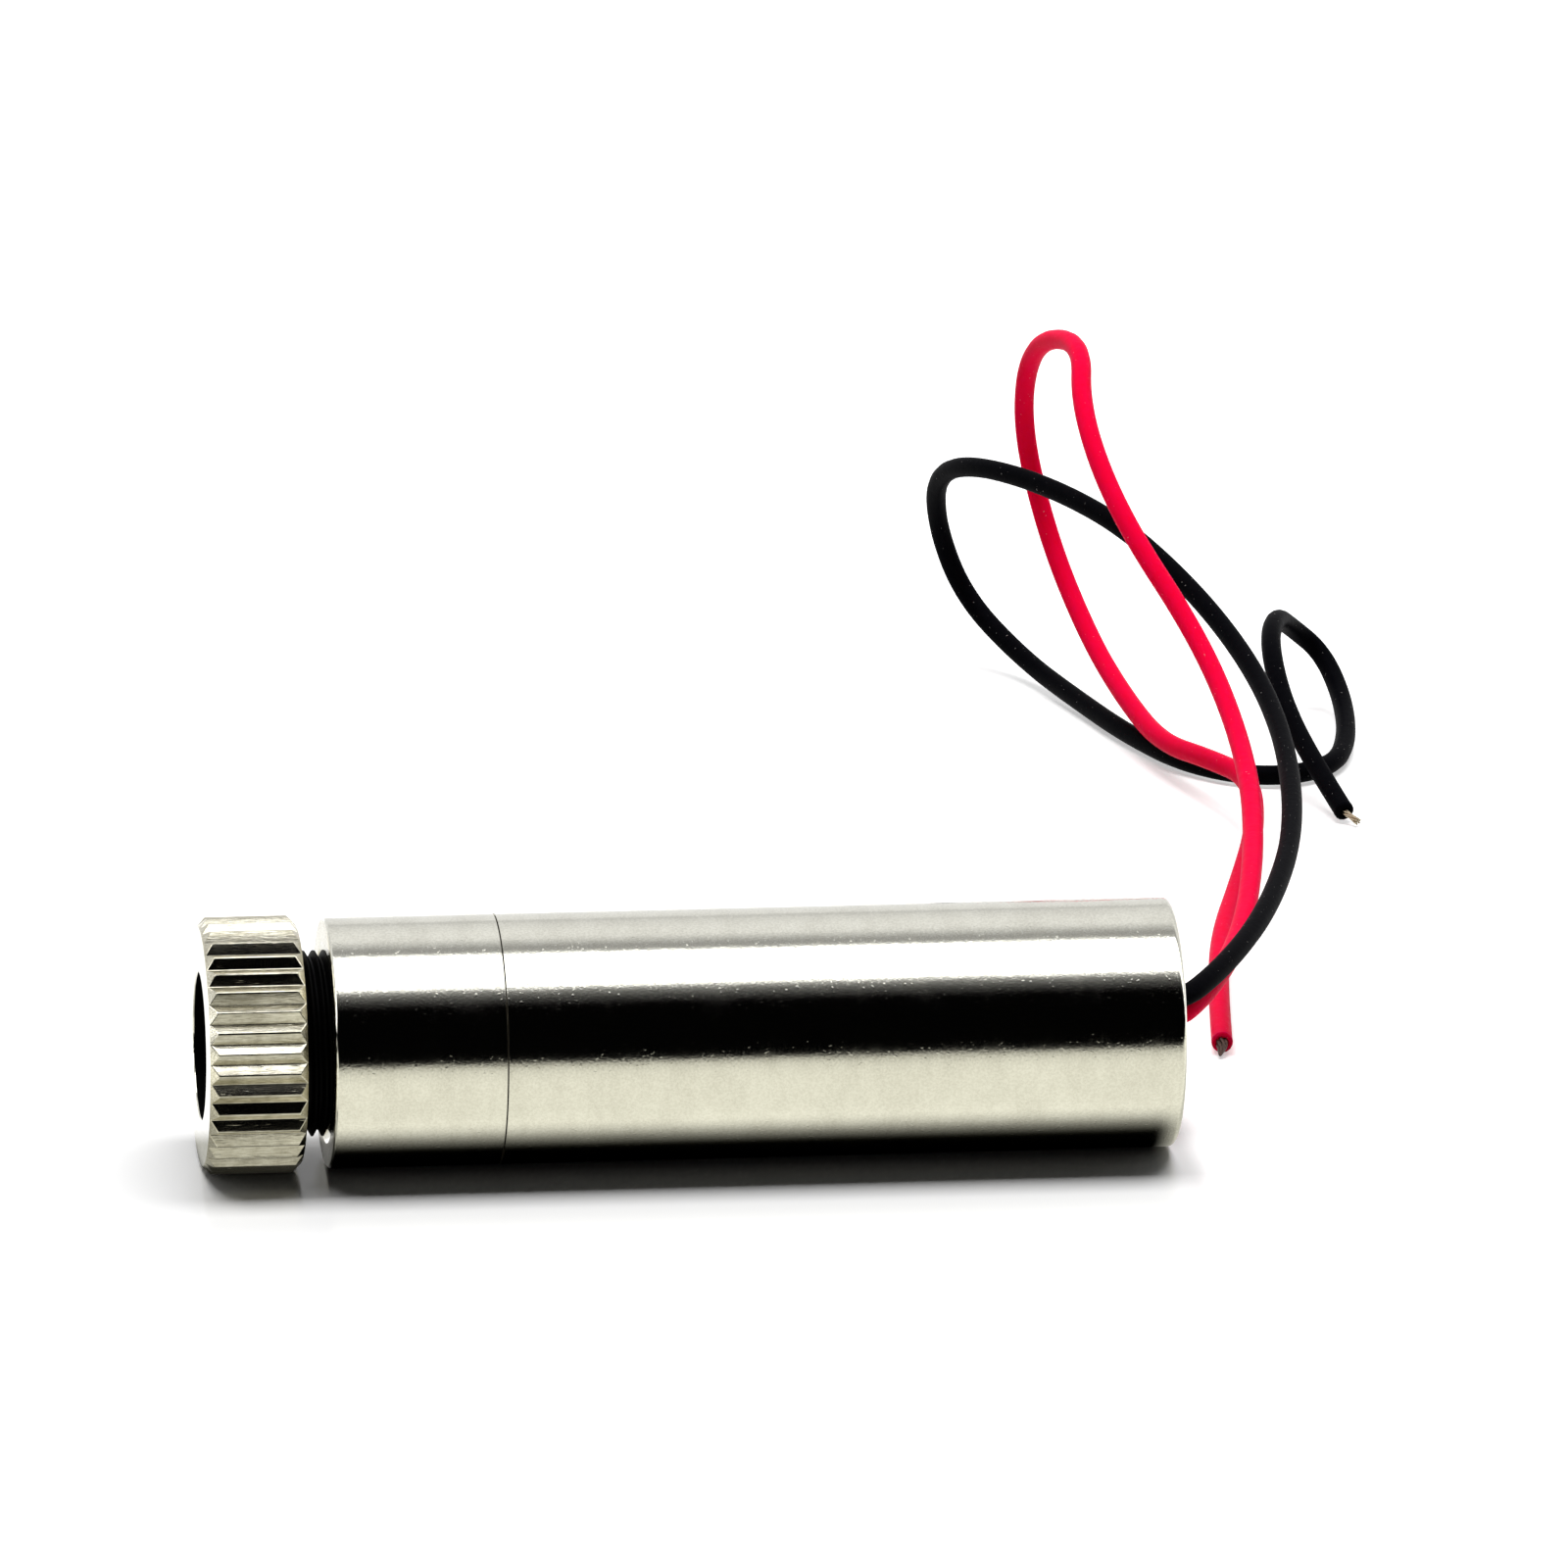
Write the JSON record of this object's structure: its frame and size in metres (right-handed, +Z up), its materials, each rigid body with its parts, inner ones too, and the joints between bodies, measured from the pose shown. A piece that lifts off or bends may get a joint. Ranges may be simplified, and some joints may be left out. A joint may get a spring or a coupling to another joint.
{
  "type": "laser diode module",
  "caption": "Cylindrical laser diode module with a knurled screw-focus head, nickel-plated housing and two flying leads.",
  "frame": {"origin": "on the optical axis, midway along the housing", "axes": "X along the optical axis with the beam leaving towards -X, +Z up, the leads leaving at the +X end"},
  "size_m": [0.0686, 0.0984, 0.0222],
  "materials": {
    "nickel_plate": "polished",
    "bare_brass": "satin",
    "gold_plate": "polished",
    "can_metal": "satin",
    "spring_steel": "satin",
    "lens_glass": "gloss",
    "seal_glass": "gloss",
    "submount_ceramic": "matte",
    "semiconductor": "gloss",
    "green_laminate": "satin",
    "black_epoxy": "matte",
    "tan_ceramic": "satin",
    "solder": "satin",
    "amber_film": "gloss",
    "red_insulation": "gloss",
    "black_insulation": "satin",
    "tinned_copper": "satin"
  },
  "bodies": {
    "housing": {"front_housing": "nickel_plate", "rear_tube": "nickel_plate", "focus_spring": "spring_steel", "diode_holder": "bare_brass", "diode_clamp_ring": "bare_brass", "diode_header": "gold_plate", "diode_cap": "can_metal", "diode_window": "lens_glass", "chip_submount": "submount_ceramic", "laser_chip": "semiconductor", "monitor_photodiode": "semiconductor", "lead_seals": "seal_glass", "diode_pins": "gold_plate", "driver_board": "green_laminate", "driver_chip": "black_epoxy", "board_resistors": "semiconductor", "smoothing_capacitor": "tan_ceramic", "protection_diode": "black_epoxy", "solder_joints": "solder", "insulating_sleeve": "amber_film", "rear_potting": "black_epoxy", "red_lead": "red_insulation", "black_lead": "black_insulation", "red_conductor": "tinned_copper", "black_conductor": "tinned_copper"},
    "focus_carrier": {"focus_washer": "bare_brass"},
    "focus_barrel": {"focus_head": "nickel_plate", "collimating_lens": "lens_glass", "lens_ring": "bare_brass"}
  },
  "joints": [
    {"name": "focus_travel", "type": "slide", "parent": "housing", "child": "focus_carrier", "axis": [1, 0, 0], "range_m": [-0.0015, 0.00125], "deforming": ["focus_spring"]},
    {"name": "focus_turn", "type": "hinge", "parent": "focus_carrier", "child": "focus_barrel", "pos_m": [-0.024, 0, 0], "axis": [1, 0, 0], "range_deg": [-1080, 900]}
  ],
  "couplings": [
    {"joint": "focus_travel", "follows": "focus_turn", "m_per_rad": 0.000079577}
  ]
}
